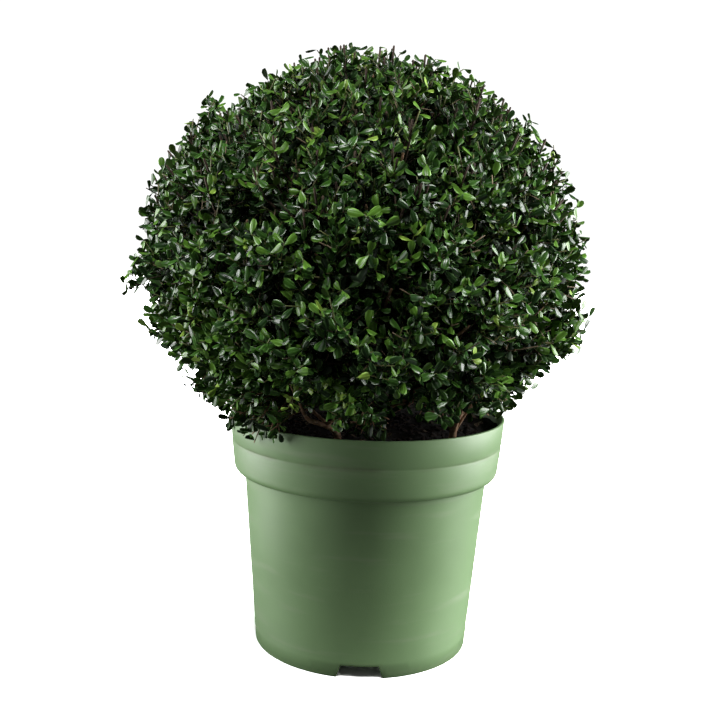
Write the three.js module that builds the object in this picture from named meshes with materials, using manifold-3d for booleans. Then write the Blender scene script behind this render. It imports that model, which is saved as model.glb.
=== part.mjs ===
// A potted Japanese holly ball: a clipped evergreen ball on a short trunk, with low stems round
// its foot, in a nursery pot.
// Units are millimetres and +Z is up. The origin is the centre of the pot's underside, on the ground.
import * as THREE from "three";
import { mergeVertices } from "three/addons/utils/BufferGeometryUtils.js";
import Module from "manifold-3d";

const wasm = await Module();
wasm.setup();

// Clearance between neighbouring solids
const GAP = 0.3;

// Pot: a tapered body under a wide collar, on a notched foot
const POT = {
  facets: 36,
  rimRadius: 150,
  rimHeight: 256,
  collarFoot: 192,
  collarFootRadius: 144.8,
  collarRounding: 8,
  grooveHeight: 227,
  grooveDepth: 0.9,
  bodyTopRadius: 133.1,
  baseRadius: 117.5,
  wall: 3,
  floorUnderside: 15,
  padRadius: 44,
  padSlope: 9,
};
const NOTCH = { count: 4, footWidth: 48, topWidth: 39, height: 13, depth: 12 };

// Soil: fills the pot to just under its rim
const SOIL_LEVEL = 243;

// Crown: the clipped outline, a dome over a shallower, squarer bowl, a little left of the pot's axis
const CROWN_CENTRE = new THREE.Vector3(-12, 0, 395);
const CROWN = { radius: 240, rise: 249, drop: 118, bowlPower: 2.6 };
const CORE = { radius: 209, rise: 222, drop: 102, bowlPower: 2.6, lumps: 5, detail: 3 };

// Trunk and boughs
const TRUNK = { radius: 13, topRadius: 11, flare: 8, lobes: 5, top: 267, lean: -4, sides: 10, steps: 5 };
const BOUGH = {
  first: -84, // degrees round from +X
  start: 250,
  stagger: 2.5,
  reach: 96,
  sunk: 14,
  radius: 6,
  tipRadius: 4.6,
  sides: 7,
  steps: 6,
};
const BOUGH_NAMES = ["front", "right", "back_right", "back_left", "left"];
const LEADER = { radius: 7.5, tipRadius: 5, length: 90, sides: 7 };

// Low stems round the foot, each with one open spray
const LOW_STEM = {
  first: -109, // degrees round from +X
  ring: 102,
  ringSpread: 9,
  tipRing: 131,
  up: 25,
  radius: 4.6,
  tipRadius: 2.8,
  sides: 7,
  steps: 6,
};
const LOW_STEM_NAMES = ["front_left", "front_right", "back_right", "back", "left"];

// Ball twigs and leaves; each leaf stands for a small spray of the plant's own 20 mm leaves
const GOLDEN_ANGLE = Math.PI * (3 - Math.sqrt(5));
const TWIG = {
  count: 120,
  lowest: -0.55, // sine of the steepest way down
  reach: 0.66, // share of the way from core to outline
  baseRadius: 3,
  sides: 3,
  sunk: 12,
  lift: 0.28,
  wander: 0.22,
};
const STRAY = { every: 9, extra: 10, highest: 0.7 };
const TRIM_SLACK = 4; // leaf tips stand this far past the clipped outline
const LEAF = {
  length: 42,
  width: 25,
  ridge: 2,
  sunk: 0.2,
  sizeSpread: 0.2,
  leans: { from: 36, to: 84, step: 4 }, // degrees off the twig
  nodes: [0.5, 0.66, 0.82, 0.97],
  turnStep: GOLDEN_ANGLE,
};

// Spray twigs, with leaves in two ranks, between the ball and the rim
const SPRAY = {
  length: 50,
  twigs: 10,
  twigLength: 52,
  lengthSpread: 0.4,
  radius: 2.4,
  rise: 0.38,
  forward: 0.16,
};
const SPRAY_ROOM = { radius: 240, rise: 249, drop: 166, bowlPower: 2, inner: 104, clear: 0.6 };
const SPRAY_LEAF = {
  length: 29,
  width: 18,
  ridge: 1.6,
  sunk: 0.2,
  sizeSpread: 0.2,
  leans: { from: 44, to: 76, step: 4 },
  nodes: [0.36, 0.55, 0.75, 0.95],
  turnStep: Math.PI,
};

const SEED = 20417;

const MATERIALS = {
  pot: new THREE.MeshStandardMaterial({ color: 0x76906b, roughness: 0.6, metalness: 0 }),
  soil: new THREE.MeshStandardMaterial({ color: 0x231a12, roughness: 0.95, metalness: 0 }),
  bark: new THREE.MeshStandardMaterial({ color: 0x6f5540, roughness: 0.85, metalness: 0 }),
  leaf: new THREE.MeshStandardMaterial({ color: 0x2c4a1d, roughness: 0.4, metalness: 0 }),
};

// Random numbers from 0 to 1 that are the same each time
function seeded(seed) {
  let state = seed >>> 0;
  return () => {
    state = (state + 0x6d2b79f5) >>> 0;
    let mixed = Math.imul(state ^ (state >>> 15), state | 1);
    mixed ^= mixed + Math.imul(mixed ^ (mixed >>> 7), mixed | 61);
    return ((mixed ^ (mixed >>> 14)) >>> 0) / 4294967296;
  };
}
const random = seeded(SEED);
const around = (spread) => (random() * 2 - 1) * spread;

// Solids from geometries and back
function solidOf(geometry) {
  const bare = new THREE.BufferGeometry().setAttribute("position", geometry.getAttribute("position"));
  bare.setIndex(geometry.index);
  const merged = mergeVertices(bare, 1e-4);
  const triVerts = [];
  for (let i = 0; i < merged.index.count; i += 3) {
    const [a, b, c] = [0, 1, 2].map((k) => merged.index.getX(i + k));
    if (a !== b && b !== c && c !== a) triVerts.push(a, b, c);
  }
  const vertProperties = new Float32Array(merged.getAttribute("position").array);
  const mesh = new wasm.Mesh({ numProp: 3, vertProperties, triVerts: new Uint32Array(triVerts) });
  return new wasm.Manifold(mesh);
}

function geometryOf(solid) {
  const mesh = solid.getMesh();
  const geometry = new THREE.BufferGeometry();
  geometry.setAttribute("position", new THREE.BufferAttribute(new Float32Array(mesh.vertProperties), 3));
  geometry.setIndex(new THREE.BufferAttribute(new Uint32Array(mesh.triVerts), 1));
  geometry.computeVertexNormals();
  return geometry;
}

// Fuses pieces into one body, fills what fusing seals and drops loose scraps
function fused(solids) {
  const bodies = wasm.Manifold.union(solids).decompose();
  return bodies.reduce((largest, body) => (body.volume() > largest.volume() ? body : largest));
}

function node(name, geometry, material) {
  const mesh = new THREE.Mesh(geometry, material);
  mesh.name = name;
  return mesh;
}

// A profile of [radius, height] pairs turned round the Z axis
function turned(profile) {
  const points = profile.map(([radius, height]) => new THREE.Vector2(radius, height));
  return new THREE.LatheGeometry(points, POT.facets).rotateX(Math.PI / 2);
}

// A limb that tapers along a curve; radiusAt takes the share of its length and the angle round it
function limb(curve, radiusAt, sides, steps) {
  const geometry = new THREE.CylinderGeometry(1, 1, 1, sides, steps);
  const position = geometry.getAttribute("position");
  for (let i = 0; i < position.count; i++) {
    const across = new THREE.Vector2(position.getX(i), position.getZ(i));
    const angle = across.angle();
    const share = position.getY(i) + 0.5;
    const radius = across.length() * radiusAt(share, angle);
    const along = curve.getTangent(share);
    const sideways = new THREE.Vector3().crossVectors(along, levelWay(along)).normalize();
    const other = new THREE.Vector3().crossVectors(sideways, along);
    const point = curve.getPoint(share).addScaledVector(sideways, radius * Math.cos(angle));
    point.addScaledVector(other, radius * Math.sin(angle));
    position.setXYZ(i, point.x, point.y, point.z);
  }
  return solidOf(geometry);
}

// A direction well apart from the given one, to measure turns from
function levelWay(way) {
  return Math.abs(way.z) > 0.95 ? new THREE.Vector3(1, 0, 0) : new THREE.Vector3(0, 0, 1);
}

const taper = (from, to, grow = 0) => (share) => from + (to - from) * share + grow;
const polar = (radius, degrees, z) =>
  new THREE.Vector3(
    radius * Math.cos(THREE.MathUtils.degToRad(degrees)),
    radius * Math.sin(THREE.MathUtils.degToRad(degrees)),
    z,
  );

// How far a direction from the crown's centre runs to the wall of a space: a dome over a bowl
function runTo(direction, space) {
  const [tall, power] = direction.z >= 0 ? [space.rise, 2] : [space.drop, space.bowlPower];
  const flat = Math.hypot(direction.x, direction.y) / space.radius;
  return (flat ** power + Math.abs(direction.z / tall) ** power) ** (-1 / power);
}

function isInside(point, space, extra = 0) {
  const offset = point.clone().sub(CROWN_CENTRE);
  const length = offset.length();
  return length < runTo(offset.divideScalar(length), space) + extra;
}

// Pot wall radii at a height
const bodyRadius = (z) => POT.baseRadius + ((POT.bodyTopRadius - POT.baseRadius) * z) / POT.collarFoot;
const collarRadius = (z) =>
  POT.collarFootRadius +
  ((POT.rimRadius - POT.collarFootRadius) * (z - POT.collarFoot)) / (POT.rimHeight - POT.collarFoot);

function makePot() {
  const { wall, collarFoot, collarRounding, rimHeight, grooveHeight, grooveDepth, floorUnderside } = POT;
  const floorTop = floorUnderside + wall;
  const padTop = POT.padRadius + POT.padSlope;
  const profile = [
    [0, 0],
    [POT.padRadius, 0],
    [padTop, floorUnderside],
    [bodyRadius(floorUnderside) - wall, floorUnderside],
    [bodyRadius(0) - wall, 0],
    [bodyRadius(0), 0],
    [bodyRadius(collarFoot), collarFoot],
    ...roundedCorner(collarRadius(collarFoot), collarFoot, collarRounding),
    [collarRadius(grooveHeight - 1), grooveHeight - 1],
    [collarRadius(grooveHeight) - grooveDepth, grooveHeight],
    [collarRadius(grooveHeight + 1), grooveHeight + 1],
    [collarRadius(rimHeight), rimHeight],
    [collarRadius(rimHeight) - wall, rimHeight],
    [collarRadius(collarFoot + collarRounding) - wall, collarFoot + collarRounding],
    [bodyRadius(collarFoot) - wall, collarFoot],
    [bodyRadius(floorTop) - wall, floorTop],
    [padTop - wall, floorTop],
    [POT.padRadius - wall, wall],
    [0, wall],
  ];
  const notches = Array.from({ length: NOTCH.count }, (_, i) => makeNotchCutter(i));
  return geometryOf(solidOf(turned(profile)).subtract(wasm.Manifold.union(notches)));
}

// The collar's lower corner: a quarter circle from its underside up to its wall
function roundedCorner(radius, height, rounding) {
  return [0, 30, 60, 90].map((degrees) => {
    const angle = THREE.MathUtils.degToRad(degrees);
    return [radius - rounding * (1 - Math.sin(angle)), height + rounding * (1 - Math.cos(angle))];
  });
}

// The space of one drain notch: a trapezium run out through the foot
function makeNotchCutter(index) {
  const outline = new THREE.Shape();
  const below = 5;
  outline.moveTo(-NOTCH.footWidth / 2, -below);
  outline.lineTo(NOTCH.footWidth / 2, -below);
  outline.lineTo(NOTCH.footWidth / 2, 0);
  outline.lineTo(NOTCH.topWidth / 2, NOTCH.height);
  outline.lineTo(-NOTCH.topWidth / 2, NOTCH.height);
  outline.lineTo(-NOTCH.footWidth / 2, 0);
  const run = NOTCH.depth * 2;
  const cutter = new THREE.ExtrudeGeometry(outline, { depth: run, bevelEnabled: false });
  cutter.translate(0, 0, POT.baseRadius - NOTCH.depth).rotateX(Math.PI / 2);
  return solidOf(cutter.rotateZ((index * 2 * Math.PI) / NOTCH.count));
}

function makeSoil() {
  const { wall, collarFoot, collarRounding, floorUnderside } = POT;
  const floorTop = floorUnderside + wall + GAP;
  const clear = wall + GAP;
  const padTop = POT.padRadius + POT.padSlope;
  const shoulder = collarFoot + collarRounding;
  return turned([
    [0, wall + GAP],
    [POT.padRadius - clear, wall + GAP],
    [padTop - clear, floorTop],
    [bodyRadius(floorTop) - clear, floorTop],
    [bodyRadius(collarFoot) - clear, collarFoot + GAP],
    [collarRadius(shoulder) - clear, shoulder + GAP],
    [collarRadius(SOIL_LEVEL) - clear, SOIL_LEVEL],
    [0, SOIL_LEVEL],
  ]);
}

// Trunk: a flat cut at soil level, a lobed root flare, then a taper to the fork
const foot = SOIL_LEVEL + GAP;
const trunkCurve = new THREE.QuadraticBezierCurve3(
  new THREE.Vector3(0, 0, foot),
  new THREE.Vector3(0, 0, (foot + TRUNK.top) / 2),
  new THREE.Vector3(TRUNK.lean, 0, TRUNK.top),
);
function makeTrunk(grow) {
  const fade = 6;
  const radiusAt = (share, angle) => {
    const flare = TRUNK.flare * Math.exp(-fade * share);
    const lobe = 1 + 0.35 * Math.cos(TRUNK.lobes * angle);
    return taper(TRUNK.radius, TRUNK.topRadius, grow)(share) + flare * lobe;
  };
  return limb(trunkCurve, radiusAt, TRUNK.sides, TRUNK.steps);
}

// Core: the dense heart of the ball, lumpy, with room left for growth on all sides
function makeCore(grow) {
  const geometry = new THREE.IcosahedronGeometry(1, CORE.detail);
  const position = geometry.getAttribute("position");
  for (let i = 0; i < position.count; i++) {
    const way = new THREE.Vector3().fromBufferAttribute(position, i).normalize();
    const lump = CORE.lumps * Math.sin(5 * way.x + 1) * Math.sin(5 * way.y + 2) * Math.cos(4 * way.z);
    way.multiplyScalar(runTo(way, CORE) + lump + grow).add(CROWN_CENTRE);
    position.setXYZ(i, way.x, way.y, way.z);
  }
  return solidOf(geometry);
}

// Boughs fork off the trunk all round and run on into the core
function makeBough(index, grow) {
  const degrees = BOUGH.first + (index * 360) / BOUGH_NAMES.length;
  const startHeight = BOUGH.start + (index % 3) * BOUGH.stagger;
  const start = trunkCurve.getPoint((startHeight - foot) / (TRUNK.top - foot));
  const way = polar(1, degrees, 0);
  const under = CROWN_CENTRE.z - CORE.drop;
  const end = CROWN_CENTRE.clone().addScaledVector(way, BOUGH.reach).setZ(under + BOUGH.sunk);
  const bend = start.clone().lerp(end, 0.55).setZ(startHeight + (under - startHeight) * 0.25);
  const curve = new THREE.QuadraticBezierCurve3(start, bend, end);
  return limb(curve, taper(BOUGH.radius, BOUGH.tipRadius, grow), BOUGH.sides, BOUGH.steps);
}

// One leaf: a six-sided blade raised to a peak on its midrib, its root at the origin and its tip along +Y
function leafGeometry(size, scale) {
  const half = (size.width * scale) / 2;
  const length = size.length * scale;
  const edge = -size.ridge * scale;
  const corners = [
    [0, 0, 0],
    [half * 0.78, length * 0.3, edge],
    [half, length * 0.64, edge],
    [0, length, edge],
    [-half, length * 0.64, edge],
    [-half * 0.78, length * 0.3, edge],
    [0, length * 0.5, 0],
  ];
  const upper = [0, 1, 6, 1, 2, 6, 2, 3, 6, 3, 4, 6, 4, 5, 6, 5, 0, 6];
  const under = [0, 5, 1, 5, 2, 1, 5, 4, 2, 4, 3, 2];
  const geometry = new THREE.BufferGeometry();
  geometry.setAttribute("position", new THREE.BufferAttribute(new Float32Array(corners.flat()), 3));
  geometry.setIndex([...upper, ...under]);
  return geometry;
}

// Sets a leaf on a twig: blade leaning off the twig to one side, upper face towards the twig's tip
function placedLeaf(size, scale, root, twigWay, turn, leanDegrees) {
  const lean = THREE.MathUtils.degToRad(leanDegrees);
  const side = levelWay(twigWay).cross(twigWay).normalize().applyAxisAngle(twigWay, turn);
  const blade = twigWay.clone().multiplyScalar(Math.cos(lean)).addScaledVector(side, Math.sin(lean));
  const across = new THREE.Vector3().crossVectors(blade, twigWay).normalize();
  const face = new THREE.Vector3().crossVectors(across, blade);
  const place = new THREE.Matrix4().makeBasis(across, blade, face);
  place.setPosition(root.clone().addScaledVector(blade, -size.sunk));
  return leafGeometry(size, scale).applyMatrix4(place);
}

// A straight three-sided twig that narrows to a point
function twigSolid(from, to, radius) {
  const way = to.clone().sub(from);
  const geometry = new THREE.ConeGeometry(radius, way.length(), TWIG.sides, 1);
  geometry.translate(0, way.length() / 2, 0);
  const turn = new THREE.Quaternion().setFromUnitVectors(new THREE.Vector3(0, 1, 0), way.normalize());
  return solidOf(geometry.applyQuaternion(turn).translate(from.x, from.y, from.z));
}

// Leaves at the nodes of one twig; each leans out until it fits the space, or is skipped, as is one on a limb
function leavesOn(from, to, size, firstTurn, inSpace) {
  const way = to.clone().sub(from).normalize();
  const leaves = size.nodes.map((share, i) => {
    const scale = 1 + around(size.sizeSpread);
    const root = from.clone().lerp(to, share);
    const turn = firstTurn + i * size.turnStep + around(0.3);
    for (let lean = size.leans.from; lean <= size.leans.to; lean += size.leans.step) {
      const leaf = placedLeaf(size, scale, root, way, turn, lean);
      if (cornersOf(leaf).every(inSpace)) return solidOf(leaf);
    }
    return null;
  });
  return leaves.filter((leaf) => leaf && clearOfLimbs(leaf));
}

function cornersOf(geometry) {
  const position = geometry.getAttribute("position");
  const corner = (_, i) => new THREE.Vector3().fromBufferAttribute(position, i);
  return Array.from({ length: position.count }, corner);
}

// The ball: a leader off the trunk's top, the core, and twigs spread evenly over it, leafy to the outline
function makeBall() {
  const trunkWay = trunkCurve.getTangent(1);
  const leaderFoot = trunkCurve.getPoint(1).addScaledVector(trunkWay, GAP);
  const leaderTip = leaderFoot.clone().addScaledVector(trunkWay, LEADER.length);
  const leader = new THREE.LineCurve3(leaderFoot, leaderTip);
  const solids = [makeCore(0), limb(leader, taper(LEADER.radius, LEADER.tipRadius), LEADER.sides, 1)];
  for (let i = 0; i < TWIG.count; i++) {
    const height = 1 - (2 * (i + 0.5)) / TWIG.count;
    if (height < TWIG.lowest) continue;
    const flat = Math.sqrt(1 - height ** 2);
    const round = i * GOLDEN_ANGLE;
    const outward = new THREE.Vector3(flat * Math.cos(round), flat * Math.sin(round), height);
    const atCore = runTo(outward, CORE);
    const atOutline = runTo(outward, CROWN);
    const stray = i % STRAY.every === 0 && height < STRAY.highest ? STRAY.extra : 0;
    const from = CROWN_CENTRE.clone().addScaledVector(outward, atCore - TWIG.sunk);
    const drift = new THREE.Vector3(around(TWIG.wander), around(TWIG.wander), height > 0 ? TWIG.lift : 0);
    const way = outward.clone().add(drift).normalize();
    const run = TWIG.sunk + (atOutline - atCore) * TWIG.reach + stray;
    const to = from.clone().addScaledVector(way, run);
    const extra = height > 0 ? TRIM_SLACK + stray : 0;
    const inSpace = (corner) => isInside(corner, CROWN, extra);
    const twig = twigSolid(from, to, TWIG.baseRadius);
    if (!inSpace(to) || !clearOfLimbs(twig)) continue;
    solids.push(twig);
    solids.push(...leavesOn(from, to, LEAF, random() * 2 * Math.PI, inSpace));
  }
  return fused(solids);
}

// Low stems rise from the soil near the pot's wall and lean out over its rim
function lowStemDegrees(index) {
  return LOW_STEM.first + (index * 360) / LOW_STEM_NAMES.length;
}

function lowStemCurve(index) {
  const degrees = lowStemDegrees(index);
  const ring = LOW_STEM.ring + (index % 2 ? LOW_STEM.ringSpread : -LOW_STEM.ringSpread);
  const tip = polar(LOW_STEM.tipRing, degrees, foot + LOW_STEM.up);
  tip.x += CROWN_CENTRE.x;
  const root = polar(ring, degrees, foot);
  const rise = root.clone().setZ(foot + LOW_STEM.up * 0.45);
  return new THREE.CubicBezierCurve3(root, rise, rise.clone().lerp(tip, 0.45), tip);
}

function makeLowStem(index, grow) {
  const radiusAt = taper(LOW_STEM.radius, LOW_STEM.tipRadius, grow);
  return limb(lowStemCurve(index), radiusAt, LOW_STEM.sides, LOW_STEM.steps);
}

// Each spray keeps to its own sector, under the ball, over the rim and inside the crown's outline
function inSprayRoom(point, degrees) {
  const radius = Math.hypot(point.x, point.y);
  const turn = THREE.MathUtils.radToDeg(Math.atan2(point.y, point.x - CROWN_CENTRE.x)) - degrees;
  const away = Math.abs(((turn + 540) % 360) - 180);
  const overRim = radius > POT.rimRadius + SPRAY_ROOM.clear || point.z > POT.rimHeight + SPRAY_ROOM.clear;
  const sector = 180 / LOW_STEM_NAMES.length - 1;
  const underBall = !isInside(point, CROWN, SPRAY_ROOM.clear);
  const inOutline = isInside(point, SPRAY_ROOM);
  return away < sector && overRim && underBall && inOutline && radius > SPRAY_ROOM.inner;
}

// One open spray: a stem on from the low stem's tip, side twigs by turns, and leaves on each
function makeSpray(index) {
  const degrees = lowStemDegrees(index);
  const curve = lowStemCurve(index);
  const tip = curve.getPoint(1);
  const along = curve.getTangent(1);
  const start = tip.clone().addScaledVector(along, GAP);
  const way = polar(1, degrees, SPRAY.rise).normalize();
  const end = start.clone().addScaledVector(way, SPRAY.length);
  const inSpace = (corner) => inSprayRoom(corner, degrees);
  const straight = new THREE.LineCurve3(start, start.clone().addScaledVector(along, SPRAY.radius * 3));
  const solids = [
    limb(straight, taper(LOW_STEM.tipRadius, SPRAY.radius), LOW_STEM.sides, 1),
    twigSolid(straight.v2, end, SPRAY.radius),
    ...leavesOn(straight.v2, end, SPRAY_LEAF, 0, inSpace),
  ];
  for (let i = 0; i < SPRAY.twigs; i++) {
    const root = straight.v2.clone().lerp(end, 0.05 + (0.85 * i) / SPRAY.twigs);
    const side = new THREE.Vector3(-way.y, way.x, around(0.12)).normalize().multiplyScalar(i % 2 ? 1 : -1);
    const reach = side.addScaledVector(way, SPRAY.forward).normalize();
    const twigEnd = root.clone().addScaledVector(reach, SPRAY.twigLength * (1 + around(SPRAY.lengthSpread)));
    if (!inSpace(twigEnd)) continue;
    const twigRoot = root.clone().addScaledVector(reach, -1);
    solids.push(twigSolid(twigRoot, twigEnd, SPRAY.radius * 0.8));
    solids.push(...leavesOn(twigRoot, twigEnd, SPRAY_LEAF, 0, inSpace));
  }
  return fused(solids);
}

// The limbs with their clearance round them, which twigs and leaves keep out of
const trunkRoom = makeTrunk(GAP);
const coreRoom = makeCore(GAP);
const limbRoom = wasm.Manifold.union([
  trunkRoom,
  ...BOUGH_NAMES.map((_, i) => makeBough(i, GAP)),
  ...LOW_STEM_NAMES.map((_, i) => makeLowStem(i, GAP)),
]);
function clearOfLimbs(solid) {
  return solid.intersect(limbRoom).isEmpty();
}

const plant = new THREE.Group();
plant.add(node("pot", makePot(), MATERIALS.pot));
plant.add(node("potting_soil", makeSoil(), MATERIALS.soil));
plant.add(node("trunk", geometryOf(makeTrunk(0)), MATERIALS.bark));
BOUGH_NAMES.forEach((place, i) => {
  const bough = fused([makeBough(i, 0).subtract(trunkRoom).subtract(coreRoom)]);
  plant.add(node(`bough_${place}`, geometryOf(bough), MATERIALS.bark));
});
LOW_STEM_NAMES.forEach((place, i) => {
  plant.add(node(`low_stem_${place}`, geometryOf(makeLowStem(i, 0)), MATERIALS.bark));
  plant.add(node(`low_spray_${place}`, geometryOf(makeSpray(i)), MATERIALS.leaf));
});
plant.add(node("clipped_ball", geometryOf(makeBall()), MATERIALS.leaf));

export default plant;
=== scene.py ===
import math

import bmesh
import bpy
import numpy as np
from mathutils import Matrix, Vector, noise


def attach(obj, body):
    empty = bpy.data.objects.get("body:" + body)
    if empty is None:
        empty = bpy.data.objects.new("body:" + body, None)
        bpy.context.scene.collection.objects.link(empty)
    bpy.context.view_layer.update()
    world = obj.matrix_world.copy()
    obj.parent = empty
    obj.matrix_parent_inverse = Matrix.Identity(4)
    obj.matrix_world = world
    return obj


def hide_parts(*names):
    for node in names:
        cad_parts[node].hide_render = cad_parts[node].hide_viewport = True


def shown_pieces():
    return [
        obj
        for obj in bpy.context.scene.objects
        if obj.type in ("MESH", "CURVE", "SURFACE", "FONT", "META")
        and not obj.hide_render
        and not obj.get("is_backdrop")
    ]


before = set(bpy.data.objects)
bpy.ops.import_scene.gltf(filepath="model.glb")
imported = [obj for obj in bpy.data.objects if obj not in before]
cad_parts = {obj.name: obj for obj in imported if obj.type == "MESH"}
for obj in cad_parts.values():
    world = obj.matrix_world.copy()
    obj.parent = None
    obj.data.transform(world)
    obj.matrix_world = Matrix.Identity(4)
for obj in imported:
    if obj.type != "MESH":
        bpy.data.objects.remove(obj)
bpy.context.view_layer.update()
scene = bpy.context.scene
draw = np.random.default_rng(20417)
fullTurn = 2 * math.pi
goldenAngle = math.pi * (3 - math.sqrt(5))
print("frame loaded:", len(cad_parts), "nodes")


# Each stage starts its own draws, so that a change in one leaves the others alone
def reseed(number):
    draw.bit_generator.state = np.random.PCG64(number).state


def linked(name, data):
    thing = bpy.data.objects.new(name, data)
    scene.collection.objects.link(thing)
    return thing


def turned(degrees, axis):
    return Matrix.Rotation(math.radians(degrees), 4, axis)


# Camera at the photo's angle
cameraSet = {
    "lens": 51.35,
    "sensor": 36.0,
    "place": (-0.0102, -1.113, 0.474),
    "pitch": 8.23,  # degrees down
    "roll": 1.96,  # degrees, the right side lower
}


def makeCamera():
    c = cameraSet
    lens = bpy.data.cameras.new("photoCamera")
    lens.lens = c["lens"]
    lens.sensor_width = c["sensor"]
    camera = linked("photoCamera", lens)
    tilt, roll = turned(90 - c["pitch"], "X"), turned(c["roll"], "Z")
    camera.matrix_world = Matrix.Translation(c["place"]) @ tilt @ roll
    scene.camera = camera


# Studio: broad light from both sides, a smaller one from the front and above, a little thrown up by the
# floor further out at the left, and white all round
studioSet = {
    "suns": {  # strength, azimuth from the front, height over the horizon and spread in degrees
        "sideLightLeft": (5.2, -101, 6, 54),
        "sideLightRight": (8.4, 101, 12, 54),
        "topLight": (2.7, 0, 70, 17),
        "floorBounce": (0.20, -48, -15, 40),
    },
    "ambient": 0.04,
    "backdrop": 1.1,  # what the camera sees
    "floor": (6.0, 3.2, -0.0002),  # radius, tone and height; burnt out, as in the photo
    "card": (0.5, 0.015, -0.0004),  # keeps the light from below off the pot's foot
    "sheetSides": 96,
    "sheetRoughness": 0.9,
}


def addSun(name, strength, azimuth, height, spread):
    lamp = bpy.data.lights.new(name, "SUN")
    lamp.energy = strength
    lamp.angle = math.radians(spread)
    linked(name, lamp).matrix_world = turned(azimuth, "Z") @ turned(90 - height, "X")


def makeSheet(name, radius, tone, height):
    s = studioSet
    bm = bmesh.new()
    bmesh.ops.create_circle(bm, cap_ends=True, segments=s["sheetSides"], radius=radius)
    bmesh.ops.translate(bm, vec=(0, 0, height), verts=bm.verts)
    paper = startMaterial(name, Base_Color=(tone, tone, tone, 1), Roughness=s["sheetRoughness"])[0]
    sheet = pieceFromBmesh(name, bm, paper)
    sheet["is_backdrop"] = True
    return sheet


def makeStudio():
    s = studioSet
    for name, light in s["suns"].items():
        addSun(name, *light)
    scene.world = bpy.data.worlds.new("studio")
    scene.world.use_nodes = True
    tree = scene.world.node_tree
    tree.nodes.clear()
    mix = tree.nodes.new("ShaderNodeMixShader")
    for place, strength in ((1, s["ambient"]), (2, s["backdrop"])):
        white = tree.nodes.new("ShaderNodeBackground")
        white.inputs["Color"].default_value = (1, 1, 1, 1)
        white.inputs["Strength"].default_value = strength
        tree.links.new(white.outputs["Background"], mix.inputs[place])
    path = tree.nodes.new("ShaderNodeLightPath")
    tree.links.new(path.outputs["Is Camera Ray"], mix.inputs["Fac"])
    out = tree.nodes.new("ShaderNodeOutputWorld")
    tree.links.new(mix.outputs["Shader"], out.inputs["Surface"])
    scene.view_settings.view_transform = "Standard"
    floor = makeSheet("floor", *s["floor"])
    floor.visible_diffuse = False
    floor.visible_glossy = False
    floor.visible_shadow = False
    card = makeSheet("bounceCard", *s["card"])
    card.visible_camera = False
    print("camera and studio made")


# Shared makers of pieces
def pieceFromBmesh(name, bm, material, sharpAngle=None):
    if sharpAngle is not None:
        for face in bm.faces:
            face.smooth = True
        for edge in bm.edges:
            edge.smooth = edge.calc_face_angle(0.0) < math.radians(sharpAngle)
    mesh = bpy.data.meshes.new(name)
    bm.to_mesh(mesh)
    bm.free()
    mesh.materials.append(material)
    return linked(name, mesh)


def pieceFromArrays(name, points, corners, materials, faceSlots=None, uv=None):
    mesh = bpy.data.meshes.new(name)
    mesh.vertices.add(points.size // 3)
    mesh.vertices.foreach_set("co", points.astype(np.float32).ravel())
    mesh.loops.add(corners.size)
    mesh.loops.foreach_set("vertex_index", corners.astype(np.int32).ravel())
    mesh.polygons.add(len(corners))
    mesh.polygons.foreach_set("loop_start", np.arange(0, corners.size, 3, dtype=np.int32))
    mesh.polygons.foreach_set("use_smooth", np.ones(len(corners), bool))
    for material in materials:
        mesh.materials.append(material)
    if faceSlots is not None:
        mesh.polygons.foreach_set("material_index", faceSlots.astype(np.int32))
    mesh.update(calc_edges=True)
    if uv is not None:
        layer = mesh.uv_layers.new(name="blade")
        layer.data.foreach_set("uv", uv[corners.ravel()].astype(np.float32).ravel())
    return linked(name, mesh)


def repeated(corners, count, size):
    return (np.array(corners) + (np.arange(count) * size)[:, None, None]).reshape(-1, 3)


def handOver(piece, slotName, *nodes):
    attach(piece, "root")
    if nodes:
        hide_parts(*nodes)


# Shader nodes, where a value is either a number or another node's socket
def feed(tree, socket, given):
    if hasattr(given, "is_linked"):
        tree.links.new(given, socket)
    else:
        socket.default_value = given


def mapRange(tree, value, low, high, toLow, toHigh, smooth=False):
    node = tree.nodes.new("ShaderNodeMapRange")
    if smooth:
        node.interpolation_type = "SMOOTHSTEP"
    for socket, given in zip(node.inputs, (value, low, high, toLow, toHigh)):
        feed(tree, socket, given)
    return node.outputs["Result"]


def mathNode(tree, operation, a, b=0.0):
    node = tree.nodes.new("ShaderNodeMath")
    node.operation = operation
    for socket, given in zip(node.inputs, (a, b)):
        feed(tree, socket, given)
    return node.outputs["Value"]


def mixColour(tree, blend, factor, a, b):
    node = tree.nodes.new("ShaderNodeMix")
    node.data_type = "RGBA"
    node.blend_type = blend
    for place, given in ((0, factor), (6, a), (7, b)):
        feed(tree, node.inputs[place], given)
    return node.outputs[2]


def objectNoise(tree, scale, detail, stretch=None):
    spot = tree.nodes.new("ShaderNodeTexCoord").outputs["Object"]
    if stretch is not None:
        mapping = tree.nodes.new("ShaderNodeMapping")
        mapping.inputs["Scale"].default_value = stretch
        tree.links.new(spot, mapping.inputs["Vector"])
        spot = mapping.outputs["Vector"]
    cloud = tree.nodes.new("ShaderNodeTexNoise")
    cloud.inputs["Detail"].default_value = detail
    feed(tree, cloud.inputs["Scale"], scale)
    feed(tree, cloud.inputs["Vector"], spot)
    return cloud.outputs["Fac"]


# Shader node groups that several finishes share
groupSet = {
    "toneDetail": 5.0,
    "toneRange": (0.32, 0.68),
    "grainDetail": 6.0,
    "rib": (0.02, 0.13),  # across a leaf, from 0 at its rib to 1 at its edge
    "margin": (0.58, 0.92),
    "swell": 1.35,
}


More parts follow.
